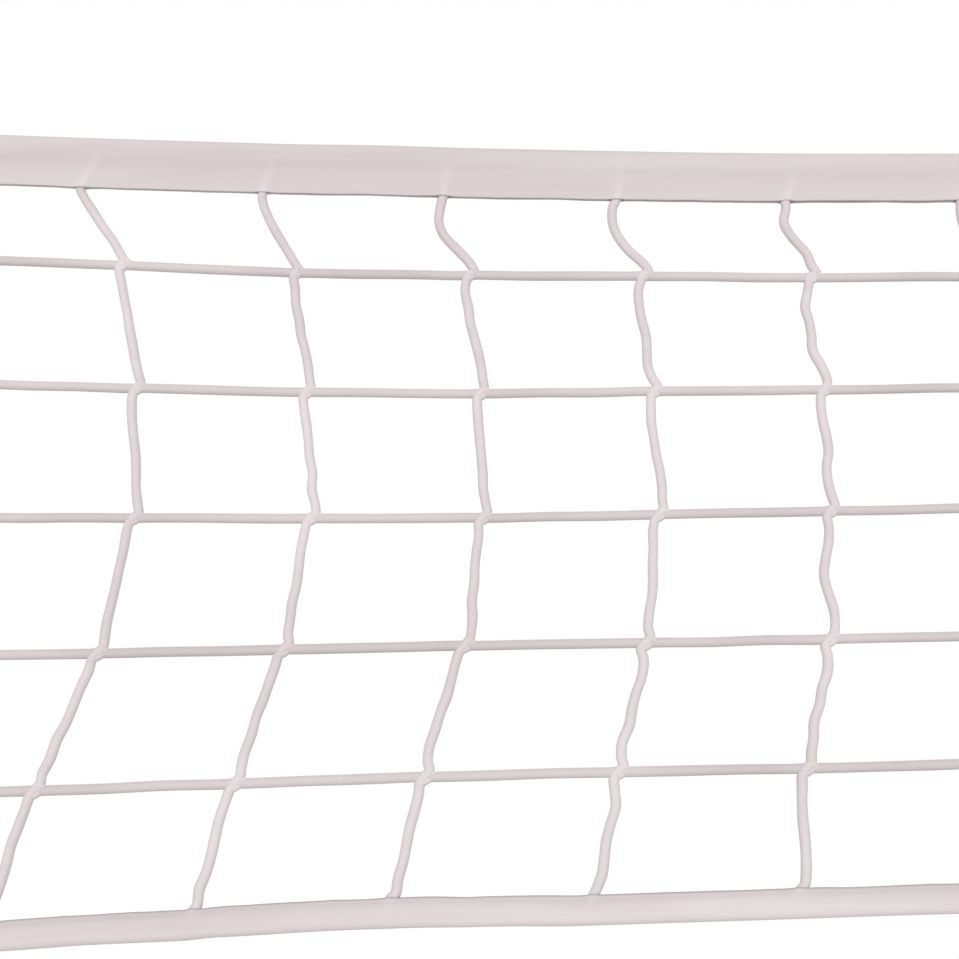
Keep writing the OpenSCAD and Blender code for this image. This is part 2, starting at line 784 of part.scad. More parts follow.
module floor_pad(side) {
  color(black)
    at_post(side)
      rotate_extrude()
        polygon([[0, 0], [base_r - 5, 0], [base_r - 4, 1], [base_r - 4, pad_t], [0, pad_t]]);
}

module socket_screws() {
  head_h = 0.6*socket_screw_d;
  color(steel)
    for (side = [left, right])
      at_post(side)
        for (a = [60, 180, 300])
          rotate([0, 0, a])
            translate([0, 0, screw_z]) {
              along_x(post_r + rest_gap, socket_r + 5, socket_screw_d/2);
              translate([socket_r + 5, 0, 0]) rotate([0, 90, 0]) cylinder(d = 1.8*socket_screw_d, h = head_h, $fn = 6);
            }
}

// ---- Transport wheels ----

module wheel_axles() {
  color(steel)
    for (side = [left, right])
      at_post(side) translate([axle_x, 0, axle_z]) along_y(-axle_l/2, axle_l/2, axle_d/2);
}

module axle_caps() {
  wall = 2.5;
  inner = 5;
  color(steel)
    for (side = [left, right], y = [front, back])
      at_post(side)
        translate([axle_x, y*(axle_l/2 - inner), axle_z])
          rotate([-90*y, 0, 0])
            rotate_extrude()
              polygon([
                [axle_d/2, 0], [axle_d/2 + wall, 0], [axle_d/2 + wall, inner], [axle_d/2, inner + wall],
                [0, inner + wall], [0, inner], [axle_d/2, inner]
              ]);
}

module at_wheel(side, y) {
  at_post(side) translate([axle_x, y*wheel_y, axle_z]) rotate([-90, 0, 0]) children();
}

module wheel_hub(side, y) {
  hub_r = wheel_r - tyre_t;
  boss_r = axle_d/2 + 6;
  web = 8;
  color(painted)
    at_wheel(side, y)
      difference() {
        rotate_extrude()
          polygon([
            [axle_d/2 + running_gap, -wheel_w/2], [boss_r, -wheel_w/2], [boss_r, -web/2],
            [hub_r - 5, -web/2], [hub_r - 5, -wheel_w/2 + 2], [hub_r, -wheel_w/2 + 2],
            [hub_r, wheel_w/2 - 2], [hub_r - 5, wheel_w/2 - 2], [hub_r - 5, web/2],
            [boss_r, web/2], [boss_r, wheel_w/2], [axle_d/2 + running_gap, wheel_w/2]
          ]);
        for (a = [0 : 60 : 300])
          rotate([0, 0, a]) translate([(boss_r + hub_r - 5)/2, 0, -wheel_w]) cylinder(d = (hub_r - boss_r)*0.4, h = 2*wheel_w);
      }
}

module tyre(side, y) {
  hub_r = wheel_r - tyre_t;
  half = wheel_w/2;
  round_r = min(half, tyre_t)*0.6;
  color(black)
    at_wheel(side, y)
      rotate_extrude()
        polygon(concat(
          [[hub_r, -half + 1], [hub_r + 1, -half]],
          arc(wheel_r - round_r, -half + round_r, round_r, -90, 0, 6),
          arc(wheel_r - round_r, half - round_r, round_r, 0, 90, 6),
          [[hub_r + 1, half], [hub_r, half - 1]]
        ));
}

net_mesh();
head_tape();
foot_tape();
side_tape(left);  // side_tape_left
side_tape(right);  // side_tape_right
net_rod(left);  // net_rod_left
net_rod(right);  // net_rod_right
head_rope();
foot_rope();
rope_sleeves();
tensioner_barrel();
tensioner_post_eye();
tensioner_rope_eye();
tensioner_nuts();
mast(left);  // mast_left
mast(right);  // mast_right
mast_foot(left);  // mast_foot_left
mast_foot(right);  // mast_foot_right
mast_cap(left);  // mast_cap_left
mast_cap(right);  // mast_cap_right
head_band(left);  // head_band_left
head_band(right);  // head_band_right
foot_band(left);  // foot_band_left
foot_band(right);  // foot_band_right
band_screws(left);  // band_screws_left
band_screws(right);  // band_screws_right
post(left);  // post_left
post(right);  // post_right
post_bush(left);  // post_bush_left
post_bush(right);  // post_bush_right
clamp_collar(left);  // clamp_collar_left
clamp_collar(right);  // clamp_collar_right
clamp_bolt(left);  // clamp_bolt_left
clamp_bolt(right);  // clamp_bolt_right
clamp_nuts();
clamp_lever(left);  // clamp_lever_left
clamp_lever(right);  // clamp_lever_right
lever_pin(left);  // lever_pin_left
lever_pin(right);  // lever_pin_right
base(left);  // base_left
base(right);  // base_right
floor_pad(left);  // floor_pad_left
floor_pad(right);  // floor_pad_right
socket_screws();
wheel_axles();
axle_caps();
wheel_hub(left, front);  // wheel_hub_left_front
wheel_hub(left, back);  // wheel_hub_left_back
wheel_hub(right, front);  // wheel_hub_right_front
wheel_hub(right, back);  // wheel_hub_right_back
tyre(left, front);  // tyre_left_front
tyre(left, back);  // tyre_left_back
tyre(right, front);  // tyre_right_front
tyre(right, back);  // tyre_right_back
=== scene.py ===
import json
import math
import random

import bmesh
import bpy
from mathutils import Matrix, Vector


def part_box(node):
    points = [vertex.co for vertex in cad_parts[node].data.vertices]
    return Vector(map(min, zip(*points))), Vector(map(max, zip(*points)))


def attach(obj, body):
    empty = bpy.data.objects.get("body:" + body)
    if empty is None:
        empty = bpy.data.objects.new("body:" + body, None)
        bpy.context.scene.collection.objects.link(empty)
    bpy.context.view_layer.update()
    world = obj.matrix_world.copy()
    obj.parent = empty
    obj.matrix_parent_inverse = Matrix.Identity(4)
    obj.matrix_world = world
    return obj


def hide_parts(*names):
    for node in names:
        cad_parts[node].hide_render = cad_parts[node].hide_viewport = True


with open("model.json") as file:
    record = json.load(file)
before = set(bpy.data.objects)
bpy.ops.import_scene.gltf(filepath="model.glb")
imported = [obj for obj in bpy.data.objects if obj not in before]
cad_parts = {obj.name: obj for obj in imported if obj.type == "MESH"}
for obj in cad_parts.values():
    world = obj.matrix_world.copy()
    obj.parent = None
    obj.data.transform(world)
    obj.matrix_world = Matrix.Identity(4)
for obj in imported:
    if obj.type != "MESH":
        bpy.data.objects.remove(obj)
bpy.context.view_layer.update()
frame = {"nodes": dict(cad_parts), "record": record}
netBody = "net_and_left_mast"
mm = 0.001
print("frame loaded:", len(frame["nodes"]), "nodes")


camera = {
    "place": (-0.4004, -0.8591, 1.8295),
    "yaw": 0.016,  # turned towards +X
    "pitch": 0.3124,  # tipped up
    "roll": -0.0205,
    "focal": 1668.2 / 959,  # in widths of the picture
    "sensor": 36,  # millimetres
    "reach": 100,  # metres
}


def makeCamera(spec):
    data = bpy.data.cameras.new("camera")
    data.sensor_width = spec["sensor"]
    data.lens = spec["sensor"] * spec["focal"]
    data.clip_end = spec["reach"]
    obj = bpy.data.objects.new("camera", data)
    bpy.context.scene.collection.objects.link(obj)
    yaw, pitch, roll = spec["yaw"], spec["pitch"], spec["roll"]
    level = math.cos(pitch)
    ahead = Vector((math.sin(yaw) * level, math.cos(yaw) * level, math.sin(pitch)))
    across = Vector((math.cos(yaw), -math.sin(yaw), 0))
    up = across.cross(ahead)
    right = across * math.cos(roll) + up * math.sin(roll)
    top = up * math.cos(roll) - across * math.sin(roll)
    turn = Matrix((right, top, -ahead)).transposed().to_4x4()
    obj.matrix_world = Matrix.Translation(spec["place"]) @ turn
    bpy.context.scene.camera = obj


makeCamera(camera)


class Value:  # a number or colour that varies over a surface

    def __init__(self, finish, socket):
        self.finish = finish
        self.socket = socket

    def maths(self, operation, a, b):
        return self.finish.add("ShaderNodeMath", {0: a, 1: b}, operation=operation)

    def __add__(self, other):
        return self.maths("ADD", self, other)

    def __radd__(self, other):
        return self.maths("ADD", other, self)

    def __sub__(self, other):
        return self.maths("SUBTRACT", self, other)

    def __rsub__(self, other):
        return self.maths("SUBTRACT", other, self)

    def __mul__(self, other):
        return self.maths("MULTIPLY", self, other)

    def __rmul__(self, other):
        return self.maths("MULTIPLY", other, self)


def socketOf(sockets, key):  # by its name, its identifier or its place in the list
    if isinstance(key, str):
        return next(s for s in sockets if key in (s.name, s.identifier))
    return sockets[key]


class Finish:  # a material and its nodes

    def __init__(self, name, **fixed):
        self.material = bpy.data.materials.new(name)
        self.material.use_nodes = True
        self.tree = self.material.node_tree
        self.shader = self.tree.nodes["Principled BSDF"]
        for socket, value in fixed.items():
            self.shader.inputs[socket.replace("_", " ")].default_value = value

    def add(self, kind, inputs=None, out=0, stops=None, **settings):
        node = self.tree.nodes.new(kind)
        for name, value in settings.items():
            setattr(node, name, value)
        if stops:
            elements = node.color_ramp.elements
            while len(elements) < len(stops):
                elements.new(0.5)
            for element, (at, colour) in zip(elements, stops):
                element.position = at
                element.color = (*colour, 1)
        for key, value in (inputs or {}).items():
            socket = socketOf(node.inputs, key)
            if isinstance(value, Value):
                self.tree.links.new(value.socket, socket)
            else:
                socket.default_value = value
        return Value(self, socketOf(node.outputs, out))

    def feed(self, socket, value):
        self.tree.links.new(value.socket, self.shader.inputs[socket])

    def place(self, stretch=(1, 1, 1)):
        spot = self.add("ShaderNodeTexCoord", out="Object")
        return self.add("ShaderNodeMapping", {"Vector": spot, "Scale": stretch})

    def height(self):
        return self.add("ShaderNodeSeparateXYZ", {"Vector": self.place()}, out="Z")

    def attribute(self, name):
        return self.add("ShaderNodeAttribute", out="Fac", attribute_name=name)

    def noise(self, where, scale, detail=3.0, rough=0.5):
        inputs = {"Vector": where, "Scale": scale, "Detail": detail, "Roughness": rough}
        return self.add("ShaderNodeTexNoise", inputs)

    def ramp(self, value, *stops):
        return self.add("ShaderNodeValToRGB", {"Fac": value}, stops=stops)

    def mix(self, share, a, b, blend="MIX"):
        inputs = {"Factor_Float": share, "A_Color": a, "B_Color": b}
        settings = {"data_type": "RGBA", "blend_type": blend}
        return self.add("ShaderNodeMix", inputs, out="Result_Color", **settings)

    def bump(self, height, distance, strength=1.0):
        inputs = {"Height": height, "Distance": distance, "Strength": strength}
        return self.add("ShaderNodeBump", inputs, out="Normal")


grainTones = (0.3, (0.965, 0.965, 0.965)), (0.7, (1, 1, 1))
# Colour of the painted shade on the tapes
paintedShadeColour = (0.35, 0.3, 0.31, 1)
markInk = (0.05, 0.06, 0.08, 1)
markHalf = 0.8 * mm  # half the height of a mark on a mast


def clothFinish(name, dark, light, broad, fine, depth, shaded=0.0):
    finish = Finish(name, Roughness=0.85, Specular_IOR_Level=0.25)
    patches = finish.noise(finish.place(broad), 1, 3)
    colour = finish.ramp(patches, (0.36, dark), (0.64, light))
    grain = finish.noise(finish.place(fine), 1, 4)
    colour = finish.mix(1, colour, finish.ramp(grain, *grainTones), "MULTIPLY")
    # Painted shade and painted highlight: the shade attribute pulls the cloth towards a darker
    # colour
    if shaded:
        colour = finish.mix(finish.attribute("shade") * shaded, colour, paintedShadeColour)
    finish.feed("Base Color", colour)
    finish.feed("Normal", finish.bump(grain, depth))
    return finish.material


def metalFinish(name, dark, light, rough, metallic):
    finish = Finish(name, Metallic=metallic)
    worn = finish.noise(finish.place(), 30, 5, 0.6)
    finish.feed("Base Color", finish.ramp(worn, (0.3, dark), (0.7, light)))
    finish.feed("Roughness", rough + worn * 0.18 - 0.09)
    fine = finish.noise(finish.place((1, 1, 12)), 160, 3)
    finish.feed("Normal", finish.bump(fine, 0.0003, 0.5))
    return finish.material


def paintFinish(name, colour, marks=()):
    finish = Finish(name, Coat_Weight=0.25, Coat_Roughness=0.2)
    peel = finish.noise(finish.place(), 420, 2)
    scuff = finish.noise(finish.place((3, 3, 0.5)), 25, 6, 0.65)
    darker = tuple(c * 0.86 for c in colour)
    paint = finish.ramp(scuff, (0.28, darker), (0.42, colour), (1.0, colour))
    for mark in marks:
        inputs = {0: finish.height(), 1: mark, 2: markHalf}
        ring = finish.add("ShaderNodeMath", inputs, operation="COMPARE")
        paint = finish.mix(ring, paint, markInk)
    finish.feed("Base Color", paint)
    finish.feed("Roughness", 0.32 + scuff * 0.2 - 0.1)
    finish.feed("Normal", finish.bump(peel, 0.00012, 0.6))
    return finish.material


def plasticFinish(name, colour, rough=0.5, grain=700, depth=0.0001):
    finish = Finish(name)
    broad = finish.noise(finish.place(), 18, 4)
    lighter = tuple(min(1, c * 1.25 + 0.004) for c in colour)
    finish.feed("Base Color", finish.ramp(broad, (0.35, colour), (0.75, lighter)))
    finish.feed("Roughness", rough + broad * 0.2 - 0.1)
    finish.feed("Normal", finish.bump(finish.noise(finish.place(), grain, 2), depth, 0.7))
    return finish.material


def ironFinish(name, dark, light):
    finish = Finish(name, Metallic=0.15)
    broad = finish.noise(finish.place(), 9, 6, 0.6)
    sand = finish.noise(finish.place(), 260, 4, 0.7)
    finish.feed("Base Color", finish.ramp(broad, (0.3, dark), (0.7, light)))
    finish.feed("Roughness", 0.52 + broad * 0.2)
    finish.feed("Normal", finish.bump(sand, 0.0006, 0.7))
    return finish.material


def woodFinish(name, dark, light):
    finish = Finish(name, Roughness=0.55)
    grain = finish.noise(finish.place((60, 60, 3)), 6, 6, 0.6)
    finish.feed("Base Color", finish.ramp(grain, (0.32, dark), (0.62, light)))
    finish.feed("Normal", finish.bump(grain, 0.0003, 0.5))
    return finish.material


# Each mark on a mast meets the post's mouth when the net is at its height
postMouth = 1.357
netHeights = (2.43, 2.35, 2.24, 2.15, 2.0)
mastMarks = [postMouth + netHeights[0] - height for height in netHeights]

cordGrain = {"broad": (9, 9, 9), "fine": (700, 700, 700), "depth": 0.0002}
tapeGrain = {"broad": (6, 35, 45), "fine": (14, 400, 400), "depth": 0.0002, "shaded": 0.5}
ropeGrain = {"broad": (20, 20, 20), "fine": (900, 900, 900), "depth": 0.0002}
finishes = {
    "cord": clothFinish("cord", (0.75, 0.675, 0.68), (0.83, 0.755, 0.76), **cordGrain),
    # The level cords take a darker copy of the cord: painted shade
    "shaded_level_cord": clothFinish(
        "shadedLevelCord", (0.655, 0.598, 0.601), (0.735, 0.672, 0.676), **cordGrain
    ),
    "tape": clothFinish("tape", (0.76, 0.685, 0.695), (0.81, 0.74, 0.75), **tapeGrain),
    "rope": clothFinish("rope", (0.66, 0.64, 0.61), (0.82, 0.8, 0.77), **ropeGrain),
    "rod_wood": woodFinish("rodWood", (0.42, 0.26, 0.13), (0.62, 0.44, 0.26)),
    "sleeve_metal": metalFinish("sleeveMetal", (0.58, 0.59, 0.6), (0.72, 0.73, 0.74), 0.35, 1),
    "plated_steel": metalFinish("platedSteel", (0.48, 0.49, 0.5), (0.66, 0.67, 0.68), 0.34, 1),
    "tube_paint": paintFinish("tubePaint", (0.7, 0.7, 0.715)),
    "mast_paint": paintFinish("mastPaint", (0.7, 0.7, 0.715), mastMarks),
    "clamp_metal": metalFinish("clampMetal", (0.055, 0.058, 0.065), (0.085, 0.09, 0.098), 0.5, 0.6),
    "black_plastic": plasticFinish("blackPlastic", (0.018, 0.018, 0.02)),
    "base_iron": ironFinish("baseIron", (0.028, 0.03, 0.034), (0.052, 0.055, 0.06)),
    "pad_rubber": plasticFinish("padRubber", (0.014, 0.014, 0.014), 0.8, 300, 0.0004),
    "hub_plastic": plasticFinish("hubPlastic", (0.45, 0.45, 0.46), 0.35),
    "tyre_rubber": plasticFinish("tyreRubber", (0.02, 0.02, 0.02), 0.72, 350, 0.0003),
}


def dressNodes():
    slots = {part["node"]: part["material_slot"] for part in frame["record"]["subparts"]}
    slots["mast_left"] = slots["mast_right"] = "mast_paint"
    for name, obj in frame["nodes"].items():
        material = finishes[slots[name]]
        if obj.material_slots:
            for spot in obj.material_slots:
                spot.material = material
        else:
            obj.data.materials.append(material)


dressNodes()
print("finishes made:", len(finishes))


# How the net hangs between the masts; its middle is where it hangs lowest
hang = {
    "columns": 50,
    "rows": 6,
    "pitch": 100 * mm,
    "headSag": 130 * mm,
    "narrowing": 187 * mm,
    "belly": 62 * mm,
    "sway": 29 * mm,
    "endDepth": 592 * mm,
    # Row by row: shares of the depth, of the belly and of the sway
    "drop": (0, 0.137, 0.289, 0.465, 0.659, 0.839, 1),
    "back": (0, 0.38, 0.77, 0.91, 0.57, 0.25, -0.05),
    "aside": (0, 0.36, 0.55, 0.56, 0.12, -0.64, -1.25),
    "headLineUp": 10.1 * mm,  # from the top cord to the head tape's fold
    "footLineUp": 9.1 * mm,  # from the foot tape's fold to the bottom cord
    "headTape": 29 * mm,
    "footTape": 14.5 * mm,
}
halfNet = hang["columns"] * hang["pitch"] / 2
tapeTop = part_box("head_tape")[1].z
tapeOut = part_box("head_tape")[1].x
topCord = tapeTop - hang["headLineUp"]

# Small slips of the knots: in each row from the first column on, aside and up in millimetres
slips = {
    "first": 18,
    "seed": 5,
    "most": 1.2,  # beyond the listed columns
    1: [(0, 2.6), (-1.3, 1.5), (-0.6, -1.4), (-0.6, -1.2), (0.2, -0.6), (-2.2, -1.3), (0, -0.9)],
    2: [(0, 2.8), (0.5, 0.7), (-0.9, -0.9), (-0.1, -1.5), (0.9, -0.3), (0, 0.2), (0, 1)],
    3: [(0, 0.8), (0.1, -0.2), (1.3, -0.7), (-0.5, -1.3), (0.7, -0.1), (-0.5, 1.1), (0, 1.6)],
    4: [(0, -1), (0.8, -1), (1.9, -0.5), (0.4, 0), (-0.6, -0.2), (0.4, 0.4), (0, 1.2)],
    5: [(0, -0.6), (-1.7, -0.5), (1.8, 0.4), (0.5, 1), (1.6, 1.2), (0.2, 0.9), (0, 1.4)],
}


def held(x):
    return max(-halfNet, min(halfNet, x))


def spread(x):
    return math.sin(math.pi / 2 * held(x) / halfNet) ** 2


def slack(x):
    return 1 - spread(x) ** 3


def topZ(x):
    return topCord - hang["headSag"] * (1 - spread(x))


def depthAt(x):
    return hang["endDepth"] - hang["narrowing"] * (1 - spread(x))


def columnX(column):
    return (column - hang["columns"] / 2) * hang["pitch"]


def footLine(x):
    return Vector((x, hang["belly"] * hang["back"][-1] * slack(x), topZ(x) - depthAt(x)))


def makeSlips():
    dice = random.Random(slips["seed"])
    table = {}
    for row in range(hang["rows"] + 1):
        for column in range(hang["columns"] + 1):
            most = slips["most"] * slack(columnX(column)) if 0 < row < hang["rows"] else 0
            table[column, row] = (dice.uniform(-most, most), dice.uniform(-most, most))
            seen = slips.get(row, [])
            if 0 <= column - slips["first"] < len(seen):
                table[column, row] = seen[column - slips["first"]]
    return table


slipTable = makeSlips()


def netPoint(column, row):  # the column may lie between two cords
    x = columnX(column)
    if row == 0:
        return headSpot(x, hang["headLineUp"])
    if row == hang["rows"]:
        return footSpot(x + hang["sway"] * hang["aside"][-1] * slack(x), hang["footLineUp"])
    share = spread(x)
    down = hang["drop"][row] * (1 - share) + row / hang["rows"] * share
    low = min(int(column), hang["columns"] - 1)
    part = column - low
    sides = slipTable[low, row], slipTable[low + 1, row]
    slip = [a + (b - a) * part for a, b in zip(*sides)]
    return Vector((
        x + hang["sway"] * hang["aside"][row] * slack(x) + slip[0] * mm,
        hang["belly"] * hang["back"][row] * slack(x),
        topZ(x) - depthAt(x) * down + slip[1] * mm,
    ))


def waves(seed, count, shortest, longest):
    dice = random.Random(seed)
    parts = []
    for _ in range(count):
        rate = 2 * math.pi / dice.uniform(shortest, longest)
        start = dice.uniform(0, 2 * math.pi)
        parts.append((rate, start, dice.uniform(0.5, 1)))
    return lambda x: sum(size * math.sin(rate * x + start) for rate, start, size in parts) / count


def between(stops, x):  # eased from stop to stop
    if x <= stops[0][0]:
        return stops[0][1]
    for (a, low), (b, high) in zip(stops, stops[1:]):
        if x <= b:
            t = (x - a) / (b - a)
            return low + (high - low) * t * t * (3 - 2 * t)
    return stops[-1][1]


# Along each tape: lifts in millimetres and leans in radians
tapeWaves = {
    "headLift": [
        (-0.9, -0.6), (-0.66, -1), (-0.5, -0.4), (-0.44, 0.4), (-0.38, 0), (-0.2, -0.6), (0, -0.4),
    ],
    "headLean": [(-0.75, 0.24), (-0.4, 0.2), (-0.1, 0.06), (0.3, 0.16)],  # back at its lower edge
    "footLift": [
        (-0.9, -1), (-0.63, -1.6), (-0.58, -0.5), (-0.54, -0.5), (-0.52, 0.5), (-0.46, 1.4),
        (-0.43, 1.3), (-0.39, 0.5), (-0.34, -0.8), (-0.25, -0.9), (-0.17, -0.6), (0.1, 0),
    ],
    # Back at its upper edge
    "footLean": [(-0.9, 0.2), (-0.6, 0.3), (-0.35, 0.24), (-0.1, 0.32), (0.4, 0.2)],
    # Away from the middle of the lists, waves of these sizes come in
    "middle": -0.38,
    "half": 0.4,
    "fade": 0.3,
    "headTurn": 0.1,
    "footTurn": 0.2,
    "rise": 1.2,
    "riseRate": 1.7,  # shorter than the turns by this
}
headSway = waves(3, 5, 0.3, 1.1)
footSway = waves(4, 6, 0.25, 0.9)
headAxis = 4.2 * mm  # below the fold; the tape turns about this line
footAxis = 3.9 * mm  # above the fold


def unlisted(x):
    past = abs(x - tapeWaves["middle"]) - tapeWaves["half"]
    return min(1, max(0, past) / tapeWaves["fade"]) * slack(x)


def tapeLean(edge, sway, x):
    listed = between(tapeWaves[edge + "Lean"], x) * slack(x)
    return listed + tapeWaves[edge + "Turn"] * sway(x) * unlisted(x)


def tapeLift(edge, sway, x):
    wave = tapeWaves["rise"] * sway(x * tapeWaves["riseRate"]) * unlisted(x)
    return (between(tapeWaves[edge + "Lift"], x) + wave) * mm


def headSpot(x, down, front=0.0):
    lean = tapeLean("head", headSway, x)
    lift = tapeLift("head", headSway, x)
    depth = down - headAxis
    fall = depth * math.cos(lean) + front * math.sin(lean)
    return Vector((
        x,
        depth * math.sin(lean) - front * math.cos(lean),
        topZ(x) + hang["headLineUp"] + lift - headAxis - fall,
    ))


def footSpot(x, up, front=0.0):
    lean = tapeLean("foot", footSway, x)
    lift = tapeLift("foot", footSway, x)
    line = footLine(x)
    height = up - footAxis
    rise = height * math.cos(lean) + front * math.sin(lean)
    return Vector((
        x,
        line.y + height * math.sin(lean) - front * math.cos(lean),
        line.z - hang["footLineUp"] + lift + footAxis + rise,
    ))


def finishPiece(name, mesh, material):
    mesh.name = name
    mesh.materials.clear()
    mesh.materials.append(material)
    for face in mesh.polygons:
        face.use_smooth = True
    obj = bpy.data.objects.new(name, mesh)
    bpy.context.scene.collection.objects.link(obj)
    return obj


def pieceOf(bm, name, material):
    mesh = bpy.data.meshes.new(name)
    bm.to_mesh(mesh)
    bm.free()
    return finishPiece(name, mesh, material)


def thicken(obj, cloth):
    solid = obj.modifiers.new("cloth", "SOLIDIFY")
    solid.thickness = cloth
    solid.offset = 0


def tubeMesh(name, paths, resolution, material):  # each point of a path ends with its radius
    curve = bpy.data.curves.new(name + "Curve", "CURVE")
    curve.dimensions = "3D"
    curve.bevel_depth = 1.0
    curve.bevel_resolution = resolution
    curve.use_fill_caps = True
    for path in paths:
        spline = curve.splines.new("POLY")
        spline.points.add(len(path) - 1)
        for spot, point in zip(spline.points, path):
            spot.co = (*point[:3], 1)
            spot.radius = point[3]
    holder = bpy.data.objects.new(name + "Holder", curve)
    bpy.context.scene.collection.objects.link(holder)
    mesh = bpy.data.meshes.new_from_object(holder)
    bpy.data.objects.remove(holder)
    bpy.data.curves.remove(curve)
    return finishPiece(name, mesh, material)


def smoothPath(points, steps):  # a curve through the points, each with its radius
    path = []
    last = len(points) - 1
    for i in range(last):
        near = [points[max(0, min(last, k))] for k in (i - 1, i, i + 1, i + 2)]
        for s in range(steps):
            t = s / steps
            spot = []
            for p, q, r, u in zip(*near):
                square = 2 * p - 5 * q + 4 * r - u
                cube = 3 * q - p - 3 * r + u
                spot.append(0.5 * (2 * q + (r - p) * t + square * t * t + cube * t ** 3))
            path.append(spot)
    path.append(list(points[last]))
    return path


def rideNet(obj, slot, *replaced):
    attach(obj, netBody)
    if replaced:
        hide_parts(*replaced)


netLook = {
    "seed": 7,
    "upright": 2.8 * mm,  # radius of the cord
    "level": 2.75 * mm,
    # Row by row, how far to one side a cord meets its knot, in millimetres
    "knotAside": (0, 1.2, 2.1, 2.6, 2.8, 2.6, 2.6),
    "knotUp": 3.2 * mm,
    "knotFront": 0.7 * mm,  # the upright cord passes this far before the level one
    "knotGrow": (0.92, 1.08),
    "uprightThickness": (0.96, 1.05),
    "uprightDepth": 0.8 * mm,  # how far a bend comes forward or goes back
    "tapeOverlap": 0.5 * mm,  # a cord goes this far into a tape's open edge
    "tapeBend": 19 * mm,  # below the fold, where a cord bends inside the head tape
    "levelShares": (0.08, 0.35, 0.65, 0.92),
    "levelDroop": 0.35 * mm,
    "levelThickness": (0.97, 1.03),
    # Bounds of what is drawn at random for the columns that the lists below leave out
    "looseMouth": (-12, -5),
    "looseArrival": 1.5,
    "looseBend": (9, 14),
    "looseKink": 3.2,
    "firstKinked": 19,  # the first column of each list below
    # How far aside of its top knot each upright cord leaves the head tape, in millimetres
    "headMouths": [-12.7, -8, -4.2, -4.5, -7.4, -6.7],
    # How far aside of a straight line each enters the foot tape
    "footMouths": [0.5, 1, -1, 0.5, 5],
    # How much further aside each meets the first level cord, and at which share of knotUp
    "arrivals": [0.4, 0.6, 2.3, 2.8, 2.5],
    "arrivalUp": 0.6,
    # How far aside of a straight line the cords of each row run, at these shares of their length
    "shares": (0.1, 0.24, 0.38, 0.52, 0.66, 0.8, 0.92),
    "kinks": {
        0: [
            (-13.8, -15.9, -14.7, -11.3, -8.1, -3.9, -1.5),
            (2.7, 1.6, -12, -10.5, -8, -4.6, -2),
            (-6.5, -10.9, -9.9, -12.6, -11.3, -5.1, -0.2),
            (3.1, 1.9, -11.3, -12.8, -11.2, -6.8, -0.2),
            (1.4, 0.1, -10.7, -13, -8.8, -2.2, -0.1),
        ],
        1: [
            (0, -0.1, -0.1, -0.4, -0.4, -0.7, -0.3),
            (0, -1, -0.5, -0.8, 0.1, 0.4, 0.1),
            (-1.9, -1.5, -1.9, -1, -0.2, 0.3, 0),
            (-2.4, -3.3, -3.1, -2.1, -3, -3.8, -2.3),
            (-2.1, -4.9, -4.3, -4.1, -4.8, -1.9, 0.2),
        ],
        2: [
            (-0.9, -1.3, -0.7, -0.2, -0.3, -0.7, -0.3),
            (-0.3, 0.1, 0.2, -0.1, 0.6, -0.8, 0.2),
            (-0.4, -0.6, -0.6, -0.6, -0.6, -1.1, -0.4),
            (-0.8, -1.5, -1.1, -0.6, 0.2, 0.5, -0.2),
            (-0.8, -0.9, 0.1, 0.2, -2.2, -2.3, -1.1),
        ],
        3: [
            (-0.1, 0.2, 0, -0.3, -0.3, -0.7, -0.1),
            (-0.5, -0.9, -0.7, -0.5, -1.6, -1.3, -1.3),
            (0.7, 0.1, -0.2, 0.2, -0.4, 0.6, 0.6),
            (-0.9, -0.4, -0.4, 0.2, 0, -1.2, -1.4),
            (1, -0.1, -2.2, -3.7, -2.1, 0.7, 0.8),
        ],
        4: [
            (0.9, 0.1, 0.3, 0.4, -0.9, -0.6, -1),
            (0.1, -0.5, -0.7, -1.5, -1.1, -1.5, -0.9),
            (-0.6, -0.6, -0.8, -2, -2.5, -3.4, -2.3),
            (2.6, 2.9, 1.2, 0.2, 0, -2.3, -1.7),
            (2.3, 3.1, 1.3, 0.8, -1, -0.4, -0.5),
        ],
        5: [
            (-0.6, -1.3, -2.3, -1.8, -1.5, -2.6, -3.8),
            (-0.3, -0.9, -0.3, 0.2, 0.3, -0.8, 0.6),
            (0.6, 0.2, -0.2, -0.1, 0.1, -0.6, -0.2),
            (1.4, 3.4, 2.2, 1.3, 1.7, 1.9, 0.1),
            (0.3, 1, 2, 3.5, 4.7, 5.8, 5.7),
        ],
    },
}


def seenOf(values, column):
    place = column - netLook["firstKinked"]
    return values[place] if 0 <= place < len(values) else None


def makeMouths():
    dice = random.Random(netLook["seed"] + 1)
    mouths = []
    for column in range(hang["columns"] + 1):
        aside = dice.uniform(*netLook["looseMouth"]) * slack(columnX(column))
        seen = seenOf(netLook["headMouths"], column)
        mouths.append(columnX(column) + (aside if seen is None else seen) * mm)
    return mouths


headMouths = makeMouths()


def footMouth(column):
    end = netPoint(column, hang["rows"])
    start = netPoint(column, hang["rows"] - 1)
    rise = hang["footTape"] - hang["footLineUp"]
    aside = seenOf(netLook["footMouths"], column) or 0
    return end.x + (start.x - end.x) * rise / (start.z - end.z) + aside * mm


